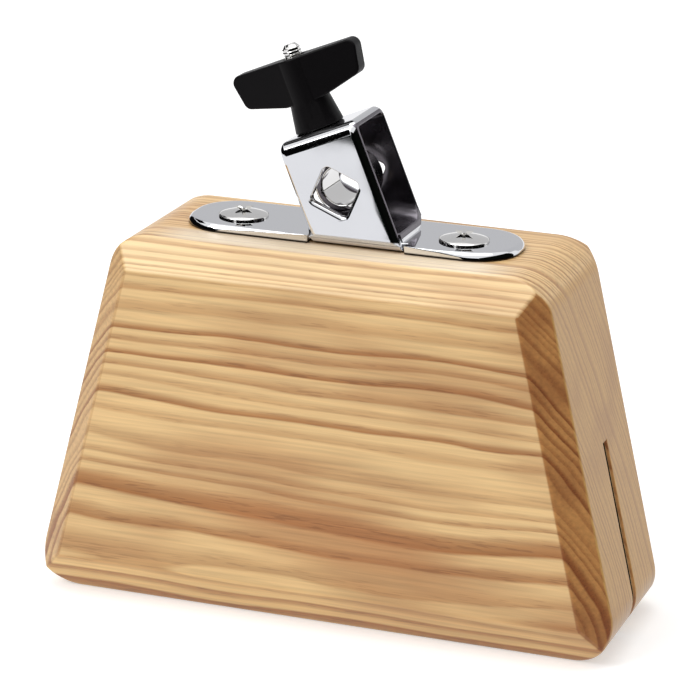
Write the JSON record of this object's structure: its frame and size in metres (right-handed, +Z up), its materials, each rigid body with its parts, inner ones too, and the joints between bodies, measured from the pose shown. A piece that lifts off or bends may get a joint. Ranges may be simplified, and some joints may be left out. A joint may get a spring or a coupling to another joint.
{
  "type": "woodblock",
  "caption": "Mountable percussion woodblock: bevelled trapezoid ash block with a saw kerf, chromed folded rod clamp on top, eyebolt and black plastic wing nut.",
  "frame": {"origin": "middle of the underside of the block", "axes": "+X along the block's length, front face towards -Y, +Z up; the clamp leans towards -X"},
  "size_m": [0.1594, 0.058, 0.1536],
  "materials": {
    "ash_wood": "satin clear lacquer over straight-grained ash",
    "chromed_sheet": "bright chrome plate",
    "plated_bolt": "bright plated steel",
    "black_plastic": "satin moulded black plastic",
    "insert_steel": "turned steel",
    "plated_screw": "bright plated steel"
  },
  "bodies": {
    "body": {"block": "ash_wood", "clamp_bracket": "chromed_sheet", "left_screw": "plated_screw", "right_screw": "plated_screw"},
    "nut": {"wing_nut": "black_plastic", "nut_insert": "insert_steel"},
    "bolt": {"eyebolt": "plated_bolt"}
  },
  "joints": [
    {"name": "nut_turn", "type": "hinge", "parent": "body", "child": "nut", "pos_m": [-0.00331, -0.00205, 0.11457], "axis": [-0.3875, 0, 0.9219], "range_deg": [-1980, 1260]},
    {"name": "eye_lift", "type": "slide", "parent": "body", "child": "bolt", "axis": [-0.3875, 0, 0.9219], "range_m": [-0.00281, 0.00441]}
  ],
  "couplings": [
    {"joint": "eye_lift", "follows": "nut_turn", "m_per_rad": -0.00012732}
  ]
}
